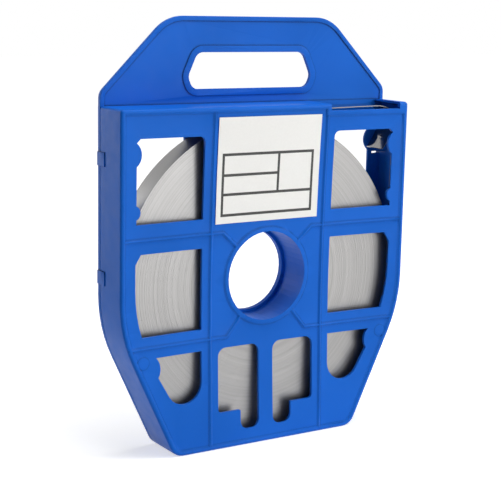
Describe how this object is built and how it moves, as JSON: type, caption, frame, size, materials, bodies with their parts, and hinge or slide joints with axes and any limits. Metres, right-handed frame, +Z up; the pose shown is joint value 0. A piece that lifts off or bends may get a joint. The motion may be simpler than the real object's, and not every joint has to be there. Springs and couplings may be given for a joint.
{
  "type": "steel banding dispenser case",
  "caption": "Blue moulded carry case with a grip, a hollow hub, windows and an exit slot, holding a coil of flat stainless steel banding.",
  "frame": {"origin": "centre of the bounding box at the floor, under the middle of the flat bottom", "axes": "+X to the right seen from the front, +Y from the windowed front to the back, +Z up"},
  "size_m": [0.2514, 0.0364, 0.319],
  "materials": {
    "case_plastic": "moulded, satin",
    "band_steel": "slit edges, satin",
    "label_paper": "satin sticker"
  },
  "bodies": {
    "case": {"front_shell": "case_plastic", "back_shell": "case_plastic", "band_tail": "band_steel", "label": "label_paper"},
    "coil": {"band_coil": "band_steel"}
  },
  "joints": [
    {"name": "coil_spin", "type": "hinge", "parent": "case", "child": "coil", "pos_m": [0.0016, 0, 0.12442], "axis": [0, 1, 0], "continuous": true}
  ]
}
